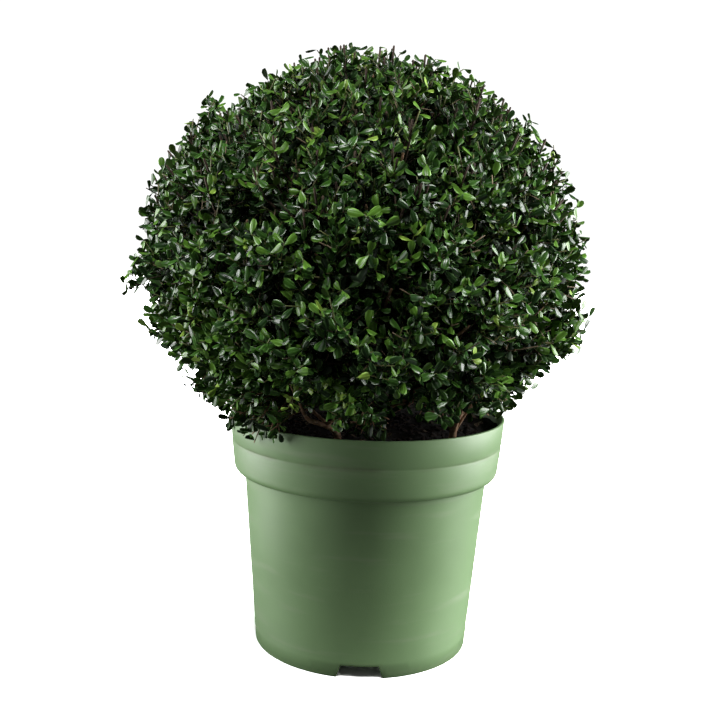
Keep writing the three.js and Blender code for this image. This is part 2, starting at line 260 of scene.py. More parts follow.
def startGroup(name, inputs, outputs):
    group = bpy.data.node_groups.new(name, "ShaderNodeTree")
    for label, value in inputs.items():
        kind = "NodeSocketColor" if isinstance(value, tuple) else "NodeSocketFloat"
        socket = group.interface.new_socket(label, in_out="INPUT", socket_type=kind)
        socket.default_value = value
    for label, kind in outputs.items():
        group.interface.new_socket(label, in_out="OUTPUT", socket_type=kind)
    return group, group.nodes.new("NodeGroupInput"), group.nodes.new("NodeGroupOutput")


def makeUnevenTone():
    inputs = {"Color": (0.5, 0.5, 0.5, 1), "Scale": 20.0, "Amount": 0.2}
    group, given, made = startGroup("unevenTone", inputs, {"Color": "NodeSocketColor"})
    cloud = objectNoise(group, given.outputs["Scale"], groupSet["toneDetail"])
    low = mathNode(group, "SUBTRACT", 1.0, given.outputs["Amount"])
    high = mathNode(group, "ADD", 1.0, given.outputs["Amount"])
    tone = mapRange(group, cloud, *groupSet["toneRange"], low, high)
    tinted = mixColour(group, "MULTIPLY", 1.0, given.outputs["Color"], tone)
    group.links.new(tinted, made.inputs["Color"])
    return group


def makeGrainRelief():
    inputs = {"Scale": 400.0, "Strength": 0.3, "Distance": 0.001}
    group, given, made = startGroup("grainRelief", inputs, {"Normal": "NodeSocketVector"})
    bump = group.nodes.new("ShaderNodeBump")
    cloud = objectNoise(group, given.outputs["Scale"], groupSet["grainDetail"])
    group.links.new(cloud, bump.inputs["Height"])
    for label in ("Strength", "Distance"):
        group.links.new(given.outputs[label], bump.inputs[label])
    group.links.new(bump.outputs["Normal"], made.inputs["Normal"])
    return group


def makeBladeLines():
    outputs = dict.fromkeys(("Rib", "Margin", "Height"), "NodeSocketFloat")
    group, _, made = startGroup("bladeLines", {}, outputs)
    across = group.nodes.new("ShaderNodeUVMap")
    across.uv_map = "blade"
    parts = group.nodes.new("ShaderNodeSeparateXYZ")
    group.links.new(across.outputs["UV"], parts.inputs["Vector"])
    off = mathNode(group, "SUBTRACT", parts.outputs["X"], 0.5)
    fromRib = mathNode(group, "MULTIPLY", mathNode(group, "ABSOLUTE", off), 2.0)
    rib = mapRange(group, fromRib, *groupSet["rib"], 1.0, 0.0, smooth=True)
    # the margin mask, where a painted highlight goes
    margin = mapRange(group, fromRib, *groupSet["margin"], 0.0, 1.0, smooth=True)
    falling = mathNode(group, "SUBTRACT", groupSet["swell"], fromRib)
    swell = mathNode(group, "MULTIPLY", fromRib, falling)
    for label, value in zip(outputs, (rib, margin, swell)):
        group.links.new(value, made.inputs[label])
    return group


unevenTone = makeUnevenTone()
grainRelief = makeGrainRelief()
bladeLines = makeBladeLines()


def placeGroup(tree, group, **values):
    node = tree.nodes.new("ShaderNodeGroup")
    node.node_tree = group
    for label, value in values.items():
        node.inputs[label].default_value = value
    return node


def unevenColour(tree, colour, scale, amount):
    return placeGroup(tree, unevenTone, Color=colour, Scale=scale, Amount=amount).outputs["Color"]


def addGrain(tree, shader, scale, strength, distance):
    grain = placeGroup(tree, grainRelief, Scale=scale, Strength=strength, Distance=distance)
    tree.links.new(grain.outputs["Normal"], shader.inputs["Normal"])


def startMaterial(name, **values):
    material = bpy.data.materials.new(name)
    material.use_nodes = True
    shader = material.node_tree.nodes["Principled BSDF"]
    for label, value in values.items():
        shader.inputs[label.replace("_", " ")].default_value = value
    return material, material.node_tree, shader


# Finishes of bark and leaves
barkFinish = {
    "kinds": {  # colour, streaks, roughness
        "oldBark": ((0.20, 0.115, 0.062, 1), (0.32, 0.235, 0.15, 1), 0.8),
        "deadBark": ((0.21, 0.155, 0.095, 1), (0.30, 0.24, 0.16, 1), 0.8),
        "youngBark": ((0.036, 0.021, 0.013, 1), (0.085, 0.056, 0.030, 1), 0.8),
        "greenStem": ((0.115, 0.135, 0.040, 1), (0.13, 0.085, 0.04, 1), 0.5),
    },
    "specular": 0.35,
    "tone": (90.0, 0.35),  # scale and amount
    "streaks": (240.0, 4.0),  # scale and detail
    "streaked": (0.5, 0.66, 0.0, 0.7),  # noise from and to, share from and to
    "grain": (420.0, 0.7, 0.0012),  # scale, strength and distance
}
leafFinish = {
    "tints": {  # upper face, underside, roughness, specular; the darkest first
        # the darkest tint, for leaves deep in the crown: older leaves, darkened further as painted
        # shade
        "innerOldAndShadedGreen": ((0.006, 0.017, 0.004, 1), (0.012, 0.024, 0.008, 1), 0.5, 0.15),
        "deepGreen": ((0.012, 0.039, 0.007, 1), (0.046, 0.085, 0.025, 1), 0.23, 0.40),
        "midGreen": ((0.029, 0.087, 0.010, 1), (0.074, 0.136, 0.034, 1), 0.25, 0.38),
        "freshGreen": ((0.073, 0.172, 0.017, 1), (0.125, 0.212, 0.042, 1), 0.28, 0.36),
        "paleTip": ((0.215, 0.350, 0.048, 1), (0.23, 0.35, 0.07, 1), 0.34, 0.34),
    },
    "dead": ((0.05, 0.03, 0.017, 1), (0.07, 0.045, 0.028, 1), 0.6, 0.3),
    "tone": (75.0, 0.28),  # scale and amount
    "lines": {  # share of a paler colour along the blade, and that colour's gain and lift: a paler midrib, and a painted highlight along the curled margin
        "Rib": (0.45, 1.9, (0.035, 0.035, 0.035)),
        # a painted highlight along the margin, standing in for light caught by its curled edge
        "Margin": (0.85, 2.4, (0.110, 0.150, 0.078)),
    },
    "swellStrength": 0.35,
    "swellDistance": 0.0016,
}


def makeBarkMaterial(name, colour, streakColour, roughness):
    b = barkFinish
    material, tree, shader = startMaterial(name, Roughness=roughness, Specular_IOR_Level=b["specular"])
    tone = unevenColour(tree, colour, *b["tone"])
    streak = mapRange(tree, objectNoise(tree, *b["streaks"]), *b["streaked"])
    tinted = mixColour(tree, "MIX", streak, tone, streakColour)
    tree.links.new(tinted, shader.inputs["Base Color"])
    addGrain(tree, shader, *b["grain"])
    return material


def makeLeafMaterial(name, upper, under, roughness, specular):
    material, tree, shader = startMaterial(name, Roughness=roughness, Specular_IOR_Level=specular)
    colour = unevenColour(tree, upper, *leafFinish["tone"])
    blade = placeGroup(tree, bladeLines)
    # a paler midrib, and a painted highlight along the margin
    for line, (most, gain, lift) in leafFinish["lines"].items():
        paleRibAndMarginHighlight = tuple(min(1.0, gain * part + more) for part, more in zip(upper, lift)) + (1,)
        share = mathNode(tree, "MULTIPLY", blade.outputs[line], most)
        colour = mixColour(tree, "MIX", share, colour, paleRibAndMarginHighlight)
    side = tree.nodes.new("ShaderNodeNewGeometry")
    colour = mixColour(tree, "MIX", side.outputs["Backfacing"], colour, under)
    tree.links.new(colour, shader.inputs["Base Color"])
    bump = tree.nodes.new("ShaderNodeBump")
    bump.inputs["Strength"].default_value = leafFinish["swellStrength"]
    bump.inputs["Distance"].default_value = leafFinish["swellDistance"]
    tree.links.new(blade.outputs["Height"], bump.inputs["Height"])
    tree.links.new(bump.outputs["Normal"], shader.inputs["Normal"])
    return material


barks = [makeBarkMaterial(name, *look) for name, look in barkFinish["kinds"].items()]
oldBark, deadBark, youngBark, greenStem = barks
leafTints = [makeLeafMaterial(name, *look) for name, look in leafFinish["tints"].items()]
innerOldAndShadedGreen, deepGreen, midGreen, freshGreen = range(4)  # the tints' numbers
deadLeaf = makeLeafMaterial("deadLeaf", *leafFinish["dead"])
print("finishes of bark and leaves made:", len(bpy.data.materials))


def between(low, high, share):
    return low + (high - low) * share


# Pot: one moulded wall with four drain notches, and a raised floor with a pad in its middle
potSet = {
    "rimRadius": 0.150,
    "rimHeight": 0.256,
    "collarFoot": 0.192,
    "collarFootRadius": 0.1448,
    "collarRounding": 0.008,
    "grooveHeight": 0.227,
    "grooveDepth": 0.0006,
    "grooveShape": (  # height from its middle, share of its depth
        (-0.0026, 0), (-0.0009, 0.8), (0, 1), (0.0009, 0.8), (0.0026, 0),
    ),
    "bodyTopRadius": 0.1331,
    "bodyRing": 0.1,
    "baseRadius": 0.1175,
    "footBand": 0.017,
    "footBandStep": 0.0004,
    "footBandSlope": 0.001,
    "wall": 0.003,
    "floorUnderside": 0.015,
    "floorGap": 0.0003,
    "padRadius": 0.044,
    "padSlope": 0.009,
    "segments": 160,
    "sharpAngle": 32,
    "edgeRounding": 0.0007,
    "edgeAngle": 50,
}
notchSet = {"count": 4, "footWidth": 0.048, "topWidth": 0.039, "height": 0.013, "footHeight": 0.03}
potFinish = {
    "colour": (0.165, 0.270, 0.122, 1),
    "dusty": (0.25, 0.31, 0.2, 1),
    # darker, browner colour in patches along the groove
    "grooveDarkColour": (0.105, 0.11, 0.06, 1),
    "specular": 0.4,
    "tone": (14.0, 0.06),  # scale and amount
    "scuffs": (9.0, 8.0, (1, 1, 9)),  # scale and detail; they run round the pot, so drawn out sideways
    "scuffRange": (0.56, 0.74),
    "scuffMost": 0.45,
    "roughness": (0.46, 0.62),  # clean, scuffed
    "patches": (26.0, 4.0),  # of the darker patches along the groove: scale and detail
    "patchy": (0.4, 0.65, 0.0, 0.4),  # noise from and to, share from and to
    "grooveDarkReach": (0.0005, 0.004),  # from the groove
    "grain": (900.0, 0.12, 0.0006),  # scale, strength and distance
}


def makePotMaterial():
    f = potFinish
    material, tree, shader = startMaterial("sagePlastic", Specular_IOR_Level=f["specular"])
    tone = unevenColour(tree, f["colour"], *f["tone"])
    scuff = mapRange(tree, objectNoise(tree, *f["scuffs"]), *f["scuffRange"], 0.0, f["scuffMost"])
    scuffed = mixColour(tree, "MIX", scuff, tone, f["dusty"])
    place = tree.nodes.new("ShaderNodeTexCoord")
    height = tree.nodes.new("ShaderNodeSeparateXYZ")
    tree.links.new(place.outputs["Object"], height.inputs["Vector"])
    above = mathNode(tree, "SUBTRACT", height.outputs["Z"], potSet["grooveHeight"])
    fromGroove = mathNode(tree, "ABSOLUTE", above)
    # darker, browner colour in patches along the groove
    nearGroove = mapRange(tree, fromGroove, *f["grooveDarkReach"], 1.0, 0.0, smooth=True)
    patchy = mapRange(tree, objectNoise(tree, *f["patches"]), *f["patchy"])
    grooveDarkening = mathNode(tree, "MULTIPLY", nearGroove, patchy)
    colour = mixColour(tree, "MIX", grooveDarkening, scuffed, f["grooveDarkColour"])
    tree.links.new(colour, shader.inputs["Base Color"])
    roughness = mapRange(tree, scuff, 0.0, f["scuffMost"], *f["roughness"])
    tree.links.new(roughness, shader.inputs["Roughness"])
    addGrain(tree, shader, *f["grain"])
    return material


potPlastic = makePotMaterial()


def bodyRadius(z):
    p = potSet
    return p["baseRadius"] + (p["bodyTopRadius"] - p["baseRadius"]) * z / p["collarFoot"]


def collarRadius(z):
    p = potSet
    share = (z - p["collarFoot"]) / (p["rimHeight"] - p["collarFoot"])
    return between(p["collarFootRadius"], p["rimRadius"], share)


def spunSheet(profile, segments):
    bm = bmesh.new()
    spots = [bm.verts.new((radius, 0, z)) for radius, z in profile]
    for a, b in zip(spots, spots[1:]):
        bm.edges.new((a, b))
    bmesh.ops.spin(
        bm, geom=bm.verts[:] + bm.edges[:], cent=(0, 0, 0), axis=(0, 0, 1), angle=fullTurn,
        steps=segments, use_merge=True,
    )
    bmesh.ops.remove_doubles(bm, verts=bm.verts, dist=1e-5)
    return bm


def cutNotches(bm):
    n = notchSet
    slope = (n["footWidth"] - n["topWidth"]) / 2 / n["height"]
    for i in range(n["count"]):
        turn = Matrix.Rotation(fullTurn * i / n["count"], 3, "Z")
        out, along = turn @ Vector((0, -1, 0)), turn @ Vector((1, 0, 0))

        def near(face):
            middle = face.calc_center_median()
            inBand = middle.z < n["footHeight"] and abs(middle.dot(along)) < n["footWidth"]
            return inBand and middle.dot(out) > 0

        def inNotch(face):
            middle = face.calc_center_median()
            half = n["footWidth"] / 2 - slope * middle.z
            return middle.z < n["height"] and abs(middle.dot(along)) < half

        cuts = [(Vector((0, 0, n["height"])), Vector((0, 0, 1)))]
        for hand in (-1, 1):
            normal = along * hand + Vector((0, 0, slope))
            cuts.append((along * hand * n["footWidth"] / 2, normal.normalized()))
        for spot, normal in cuts:
            faces = [face for face in bm.faces if near(face)]
            edges = {edge for face in faces for edge in face.edges}
            verts = {vert for face in faces for vert in face.verts}
            geom = [*faces, *edges, *verts]
            bmesh.ops.bisect_plane(bm, geom=geom, dist=1e-6, plane_co=spot, plane_no=normal)
        gone = [face for face in bm.faces if near(face) and inNotch(face)]
        bmesh.ops.delete(bm, geom=gone, context="FACES")


def potPiece(name, bm, isOut):
    p = potSet
    bmesh.ops.recalc_face_normals(bm, faces=bm.faces)
    bm.normal_update()
    if not isOut(max(bm.faces, key=lambda face: face.calc_area())):
        bmesh.ops.reverse_faces(bm, faces=bm.faces)
    piece = pieceFromBmesh(name, bm, potPlastic, p["sharpAngle"])
    solid = piece.modifiers.new("wall", "SOLIDIFY")
    solid.thickness = p["wall"]
    solid.offset = -1
    solid.use_even_offset = True
    soften = piece.modifiers.new("softEdges", "BEVEL")
    soften.width = p["edgeRounding"]
    soften.segments = 2
    soften.limit_method = "ANGLE"
    soften.angle_limit = math.radians(p["edgeAngle"])
    soften.harden_normals = False
    handOver(piece, "pot", "pot")


def makePot():
    p = potSet
    band, step, collar = p["footBand"], p["footBandStep"], p["collarFoot"]
    profile = [(bodyRadius(z) + step, z) for z in (0, band)]
    profile += [(bodyRadius(z), z) for z in (band + p["footBandSlope"], p["bodyRing"], collar)]
    bow = p["collarRounding"]
    for degrees in range(0, 91, 15):
        angle = math.radians(degrees)
        radius = p["collarFootRadius"] - bow * (1 - math.sin(angle))
        profile.append((radius, collar + bow * (1 - math.cos(angle))))
    for rise, deep in p["grooveShape"]:
        z = p["grooveHeight"] + rise
        profile.append((collarRadius(z) - deep * p["grooveDepth"], z))
    profile.append((p["rimRadius"], p["rimHeight"]))
    bm = spunSheet(profile, p["segments"])
    cutNotches(bm)
    level = Vector((1, 1, 0))
    potPiece("pot_wall", bm, lambda face: face.normal.dot(face.calc_center_median() * level) > 0)
    under = p["floorUnderside"]
    base = [(0, 0), (p["padRadius"], 0), (p["padRadius"] + p["padSlope"], under)]
    base.append((bodyRadius(under) - p["wall"] - p["floorGap"], under))
    potPiece("pot_floor", spunSheet(base, p["segments"]), lambda face: face.normal.z < 0)
    print("pot made")


# Soil: a rough surface a little under the rim, with chips on it
soilSet = {
    "level": 0.243,
    "bottom": 0.0185,
    "clear": 0.0033,
    "rings": 26,
    "segments": 110,
    "sharpAngle": 60,
    "relief": ((46, 0.0032, 0.3), (170, 0.0011, 0.7)),  # scale and height, and where the noise is cut
}
chipSet = {
    "seed": 3,
    "count": 900,
    "size": (0.0018, 0.0055),
    "uneven": (0.5, 1.2),
    "flat": 0.5,
    "reach": 0.138,
}
soilFinish = {
    "surface": {"Roughness": 0.95, "Specular_IOR_Level": 0.25},
    "toneScale": 160.0,
    "grain": (700.0, 0.8, 0.002),  # scale, strength and distance
}


def makeSoilMaterial(name, colour, amount):
    f = soilFinish
    material, tree, shader = startMaterial(name, **f["surface"])
    tone = unevenColour(tree, colour, f["toneScale"], amount)
    tree.links.new(tone, shader.inputs["Base Color"])
    addGrain(tree, shader, *f["grain"])
    return material


# soil and chips very dark: their own colour, darkened further as painted shade under the ball
soilEarth = makeSoilMaterial("pottingSoil", (0.005, 0.0032, 0.002, 1), 0.6)
soilBits = makeSoilMaterial("soilChips", (0.014, 0.0085, 0.005, 1), 0.7)


def soilLevel(x, y):
    level = soilSet["level"]
    for scale, height, cut in soilSet["relief"]:
        level += noise.noise(Vector((x, y, cut)) * scale) * height
    return level


def makeSoil():
    s, p = soilSet, potSet
    top = collarRadius(s["level"]) - s["clear"]
    shoulder = p["collarFoot"] + p["collarRounding"]
    profile = [(0, s["bottom"])]
    profile += [(bodyRadius(z) - s["clear"], z) for z in (s["bottom"], p["collarFoot"])]
    profile.append((collarRadius(shoulder) - s["clear"], shoulder))
    profile += [(top * (1 - i / s["rings"]), s["level"]) for i in range(s["rings"] + 1)]
    bm = spunSheet(profile, s["segments"])
    for vert in bm.verts:
        if vert.co.z > s["level"] - 1e-6:
            vert.co.z = soilLevel(vert.co.x, vert.co.y)
    bmesh.ops.recalc_face_normals(bm, faces=bm.faces)
    handOver(pieceFromBmesh("soil_bed", bm, soilEarth, s["sharpAngle"]), "soil", "potting_soil")


def makeChips():
    c = chipSet
    count = c["count"]
    reseed(c["seed"])
    lump = np.array([[1, 0, 0], [0, 1, 0], [-1, 0, 0], [0, -1, 0], [0, 0, 1], [0, 0, -1]], float)
    sides = [[j, (j + 1) % 4, 4] for j in range(4)] + [[(j + 1) % 4, j, 5] for j in range(4)]
    reach = c["reach"] * np.sqrt(draw.random(count))
    around = draw.random(count) * fullTurn
    spots = np.stack([reach * np.cos(around), reach * np.sin(around)], 1)
    heights = np.array([soilLevel(x, y) for x, y in spots])
    sizes = draw.uniform(*c["size"], count)
    shape = lump * draw.uniform(*c["uneven"], (count, len(lump), 1)) * sizes[:, None, None]
    shape[:, :, 2] *= c["flat"]
    turn = draw.random(count) * fullTurn
    cos, sin = np.cos(turn)[:, None], np.sin(turn)[:, None]
    x = shape[:, :, 0] * cos - shape[:, :, 1] * sin
    y = shape[:, :, 0] * sin + shape[:, :, 1] * cos
    points = np.stack([x + spots[:, :1], y + spots[:, 1:], shape[:, :, 2] + heights[:, None]], 2)
    corners = repeated(sides, count, len(lump))
    handOver(pieceFromArrays("soil_chips", points, corners, [soilBits]), "soil")
    print("soil made")


# Crown spaces, as in the solids: a dome over a shallower bowl
crownCentre = np.array([-0.012, 0.0, 0.395])
crownSet = {"radius": 0.240, "rise": 0.249, "drop": 0.118, "bowlPower": 2.6}
coreSet = {"radius": 0.209, "rise": 0.222, "drop": 0.102, "bowlPower": 2.6}
sprayRoom = {"radius": 0.240, "rise": 0.249, "drop": 0.166, "bowlPower": 2.0}


def unit(way):
    return way / np.maximum(np.linalg.norm(way, axis=-1, keepdims=True), 1e-12)


def runTo(way, space):
    up = way[..., 2] >= 0
    tall = np.where(up, space["rise"], space["drop"])
    power = np.where(up, 2.0, space["bowlPower"])
    flat = np.hypot(way[..., 0], way[..., 1]) / space["radius"]
    return (flat**power + np.abs(way[..., 2] / tall) ** power) ** (-1 / power)


def pastWall(points, space):
    offset = points - crownCentre
    length = np.linalg.norm(offset, axis=-1)
    return length - runTo(offset / np.maximum(length, 1e-9)[..., None], space)


def inRoom(points, twigs, space):
    slack = twigs["slack"]
    return pastWall(points, space) < (slack[:, None] if points.ndim == 3 else slack)


def inCrown(points, twigs):
    return inRoom(points, twigs, crownSet)


# Ways and bends: a twig has a start, a bend and an end
def levelWay(way):
    steep = np.abs(way[..., 2:]) > 0.95
    return np.where(steep, np.array([1.0, 0, 0]), np.array([0, 0, 1.0]))


def sideways(way, turn):
    flat = unit(np.cross(levelWay(way), way))
    return flat * np.cos(turn)[..., None] + np.cross(way, flat) * np.sin(turn)[..., None]


def upBy(height):
    return np.array([0, 0, height])


def polar(radius, degrees, z):
    angle = math.radians(degrees)
    return np.array([radius * math.cos(angle), radius * math.sin(angle), z])


def bezier(start, bend, end, share):
    rest = 1 - share
    return rest**2 * start + 2 * rest * share * bend + share**2 * end


def bezierWay(start, bend, end, share):
    return unit(2 * (1 - share) * (bend - start) + 2 * share * (end - bend))


def threePoints(twigs):
    return np.stack([twigs["start"], twigs["bend"], twigs["end"]])


def pick(rows, chosen):
    return {label: values[chosen] for label, values in rows.items()}


def nearest(points, hosts):
    return np.linalg.norm(points[:, None] - hosts[None], axis=2).argmin(1)


# Trunk, boughs and low stems, with the relief of their bark
trunkSet = {
    "radius": 0.013,
    "tipRadius": 0.011,
    "flare": 0.008,
    "flareFade": 6,
    "lobes": 5,
    "lobeDepth": 0.35,
    "top": 0.267,
    "lean": -0.004,
}
boughSet = {
    "first": -84,
    "start": 0.250,
    "stagger": 0.0025,
    "reach": 0.096,
    "sunk": 0.014,
    "bendAt": 0.55,
    "bendRise": 0.25,
    "radius": 0.006,
    "tipRadius": 0.0046,
    "names": ["front", "right", "back_right", "back_left", "left"],
}
stemSet = {
    "first": -109,
    "ring": 0.102,
    "ringSpread": 0.009,
    "tipRing": 0.131,
    "up": 0.025,
    "riseShare": 0.45,  # of the height, straight up
    "farShare": 0.45,  # of the way from there to the tip
    "radius": 0.004048,
    "tipRadius": 0.002464,
    "names": ["front_left", "front_right", "back_right", "back", "left"],
}
barkSet = {
    "sides": 18,
    "step": 0.0016,
    "fewest": 8,
    "ridges": 0.09,
    "ridgeScale": (3, 90),  # round the limb, along it
    "lumps": 0.12,
    "lumpScale": 130,
    "sharpAngle": 70,
}
soilTop = soilSet["level"] + 0.0003


def spaced(pathAt):
    fine = np.array([pathAt(share) for share in np.linspace(0, 1, 60)])
    length = np.linalg.norm(np.diff(fine, axis=0), axis=1).sum()
    count = max(barkSet["fewest"], int(length / barkSet["step"]))
    return np.array([pathAt(share) for share in np.linspace(0, 1, count)])


def growLimb(name, pathAt, kind):
    b, t = barkSet, trunkSet
    path = spaced(pathAt)
    shares = np.linspace(0, 1, len(path))
    radii = between(kind["radius"], kind["tipRadius"], shares)
    bm = bmesh.new()
    bmesh.ops.create_circle(bm, cap_ends=False, segments=b["sides"], radius=1.0)
    ring = bm.edges[:]
    last = Matrix.Identity(4)
    bmesh.ops.contextual_create(bm, geom=ring)
    for number, way in enumerate(unit(np.gradient(path, axis=0))):
        radius = radii[number]
        heading = Vector(way).to_track_quat("Z", "Y").to_matrix().to_4x4()
        here = Matrix.Translation(path[number]) @ heading @ Matrix.Diagonal((radius, radius, radius, 1))
        if number:
            grown = bmesh.ops.extrude_edge_only(bm, edges=ring)["geom"]
            ring = [part for part in grown if isinstance(part, bmesh.types.BMEdge)]
            ring = [edge for edge in ring if all(vert in grown for vert in edge.verts)]
        verts = list({vert for edge in ring for vert in edge.verts})
        bmesh.ops.transform(bm, matrix=here @ last.inverted(), verts=verts)
        last = here
    bmesh.ops.contextual_create(bm, geom=ring)
    bmesh.ops.recalc_face_normals(bm, faces=bm.faces)
    bm.normal_update()
    around, along = b["ridgeScale"]
    for vert in bm.verts:
        number = int(np.argmin(((path - np.array(vert.co)) ** 2).sum(1)))
        out = vert.co - Vector(path[number])
        angle = math.atan2(out.y, out.x)
        spot = (math.cos(angle) * around, math.sin(angle) * around, vert.co.z * along)
        ridge, lump = noise.noise(Vector(spot)), noise.noise(vert.co * b["lumpScale"])
        swell = radii[number] * (b["ridges"] * ridge + b["lumps"] * lump)
        if kind is t:
            flare = t["flare"] * math.exp(-t["flareFade"] * shares[number])
            swell += flare * (1 + t["lobeDepth"] * math.cos(t["lobes"] * angle))
        if out.length > 1e-6:
            vert.co += out.normalized() * swell
    return pieceFromBmesh(name, bm, oldBark, b["sharpAngle"])


def trunkPoint(share):
    t = trunkSet
    bend = upBy((soilTop + t["top"]) / 2)
    return bezier(upBy(soilTop), bend, np.array([t["lean"], 0, t["top"]]), share)


def boughBend(index):
    b = boughSet
    degrees = b["first"] + index * 360 / len(b["names"])
    startHeight = b["start"] + (index % 3) * b["stagger"]
    start = trunkPoint((startHeight - soilTop) / (trunkSet["top"] - soilTop))
    under = crownCentre[2] - coreSet["drop"]
    end = crownCentre + polar(b["reach"], degrees, 0)
    end[2] = under + b["sunk"]
    bend = between(start, end, b["bendAt"])
    bend[2] = between(startHeight, under, b["bendRise"])
    return start, bend, end


def stemDegrees(index):
    return stemSet["first"] + index * 360 / len(stemSet["names"])


def stemPath(index, share):
    s = stemSet
    degrees = stemDegrees(index)
    ring = s["ring"] + (s["ringSpread"] if index % 2 else -s["ringSpread"])
    tip = polar(s["tipRing"], degrees, soilTop + s["up"])
    tip[0] += crownCentre[0]
    root = polar(ring, degrees, soilTop)
    rise = root + upBy(s["up"] * s["riseShare"])
    far = between(rise, tip, s["farShare"])
    rest = 1 - share
    return rest**3 * root + 3 * rest**2 * share * rise + 3 * rest * share**2 * far + share**3 * tip


def makeLimbs():
    handOver(growLimb("trunk_bark", trunkPoint, trunkSet), "bark", "trunk")
    for i, place in enumerate(boughSet["names"]):
        ends = boughBend(i)
        limb = growLimb(f"bough_bark_{place}", lambda share: bezier(*ends, share), boughSet)
        handOver(limb, "bark", f"bough_{place}")
    for i, place in enumerate(stemSet["names"]):
        limb = growLimb(f"low_stem_bark_{place}", lambda share: stemPath(i, share), stemSet)
        handOver(limb, "bark", f"low_stem_{place}")
    print("trunk, boughs and low stems made")


# Joined tubes: paths is (tube, point, 3), each closed at its foot and drawn to a blunt tip; the outer
# bands of a fresh one take the second material
def tubeArrays(paths, radii, kind, fresh=None):
    sides = kind["sides"]
    count, rings = paths.shape[:2]
    ways = unit(np.gradient(paths, axis=1))
    flat = unit(np.cross(ways, levelWay(ways)))
    other = np.cross(flat, ways)
    angle = np.arange(sides) * fullTurn / sides
    across = flat[:, :-1, None] * np.cos(angle)[:, None] + other[:, :-1, None] * np.sin(angle)[:, None]
    hoops = paths[:, :-1, None] + across * radii[:, :-1, None, None]
    points = np.concatenate([hoops.reshape(count, -1, 3), paths[:, -1:]], 1)
    one = [[0, j + 1, j] for j in range(1, sides - 1)]
    for ring in range(rings - 2):
        for j in range(sides):
            a, b = ring * sides + j, ring * sides + (j + 1) % sides
            one += [[a, b, b + sides], [a, b + sides, a + sides]]
    tip = (rings - 1) * sides
    one += [[tip - sides + j, tip - sides + (j + 1) % sides, tip] for j in range(sides)]
    slots = np.zeros((count, len(one)), int)
    if fresh is not None:
        slots[fresh, -sides * (2 * kind["freshBands"] + 1):] = 1
    return points.reshape(-1, 3), repeated(one, count, points.shape[1]), slots.ravel()


lastHoop = 0.985  # share of a tube's path, just short of its tip


def bentPaths(twigs, rings):
    shares = np.append(np.linspace(0, lastHoop, rings - 1), 1.0)[None, :, None]
    return bezier(*threePoints(twigs)[:, :, None], shares)


def taperRadii(kind, count):
    return np.tile(np.linspace(kind["radius"], kind["tipRadius"], kind["rings"]), (count, 1))


def twigTubes(twigs, kind, fresh=None, least=0):
    radii = np.maximum(taperRadii(kind, len(twigs["start"])), least)
    return tubeArrays(bentPaths(twigs, kind["rings"]), radii, kind, fresh)


def woodPiece(name, parts, materials):
    points, corners, slots = zip(*parts)
    bases = np.cumsum([0] + [len(part) for part in points[:-1]])
    corners = np.concatenate([part + base for part, base in zip(corners, bases)])
    return pieceFromArrays(name, np.concatenate(points), corners, materials, np.concatenate(slots))


# Leaves: a narrow root, widest past the middle and a blunt round tip, arched across
leafSet = {
    "length": 0.0113,
    "lengthSpread": 0.22,
    "twigSize": (0.88, 1.12),  # from twig to twig
    "tipSize": 1.08,  # leaves at the tips, which open in rosettes
    "width": 0.54,  # of the length
    "widthSpread": 0.12,
    "rows": ((0.14, 0.30), (0.42, 0.84), (0.70, 1.0), (0.93, 0.66)),  # along, half width
    "coarseRows": ((0.34, 0.72), (0.76, 0.96)),
    "fold": (-1.15, -0.45),  # rise of the margins, as a share of the half width
    "curl": (-0.36, 0.0),  # rise of the tip, as a share of the length
    "shift": 0.025,  # along the twig
    "lowest": 0.02,
    "turnSpread": 0.35,
    "leanSpread": 9,
    "leanStep": 4,
    "leanMost": 84,
    "leanTries": 14,
}


def leafTemplate(shape):
    across, along = [0.0], [0.0]
    for share, half in shape:
        across += [-half, 0.0, half]
        along += [share] * 3
    tip = len(along)
    corners = [[0, 2, 1], [0, 3, 2]]
    for row in range(1, tip - 3, 3):
        for left in (row, row + 1):
            corners += [[left, left + 1, left + 4], [left, left + 4, left + 3]]
    corners += [[tip - 3, tip - 2, tip], [tip - 2, tip - 1, tip]]
    return np.array(across + [0.0]), np.array(along + [1.0]), np.array(corners)


fineBlade = leafTemplate(leafSet["rows"])
coarseBlade = leafTemplate(leafSet["coarseRows"])


def leafPiece(name, leaves, tints, shape=fineBlade):
    acrossAt, alongAt, corners = shape
    count = len(leaves["root"])
    length = leaves["length"][:, None]
    x = acrossAt * (length * leaves["width"][:, None] / 2)
    y = alongAt * length
    z = np.abs(x) * leaves["fold"][:, None] + leaves["curl"][:, None] * length * alongAt**2
    points = leaves["root"][:, None]
    for label, part in (("across", x), ("blade", y), ("face", z)):
        points = points + leaves[label][:, None] * part[..., None]
    uv = np.tile(np.stack([acrossAt / 2 + 0.5, alongAt], 1), (count, 1))
    slots = np.repeat(leaves["tint"], len(corners))
    return pieceFromArrays(name, points, repeated(corners, count, len(acrossAt)), tints, slots, uv)


def stackLeaves(several):
    return {label: np.concatenate([leaves[label] for leaves in several]) for label in several[0]}


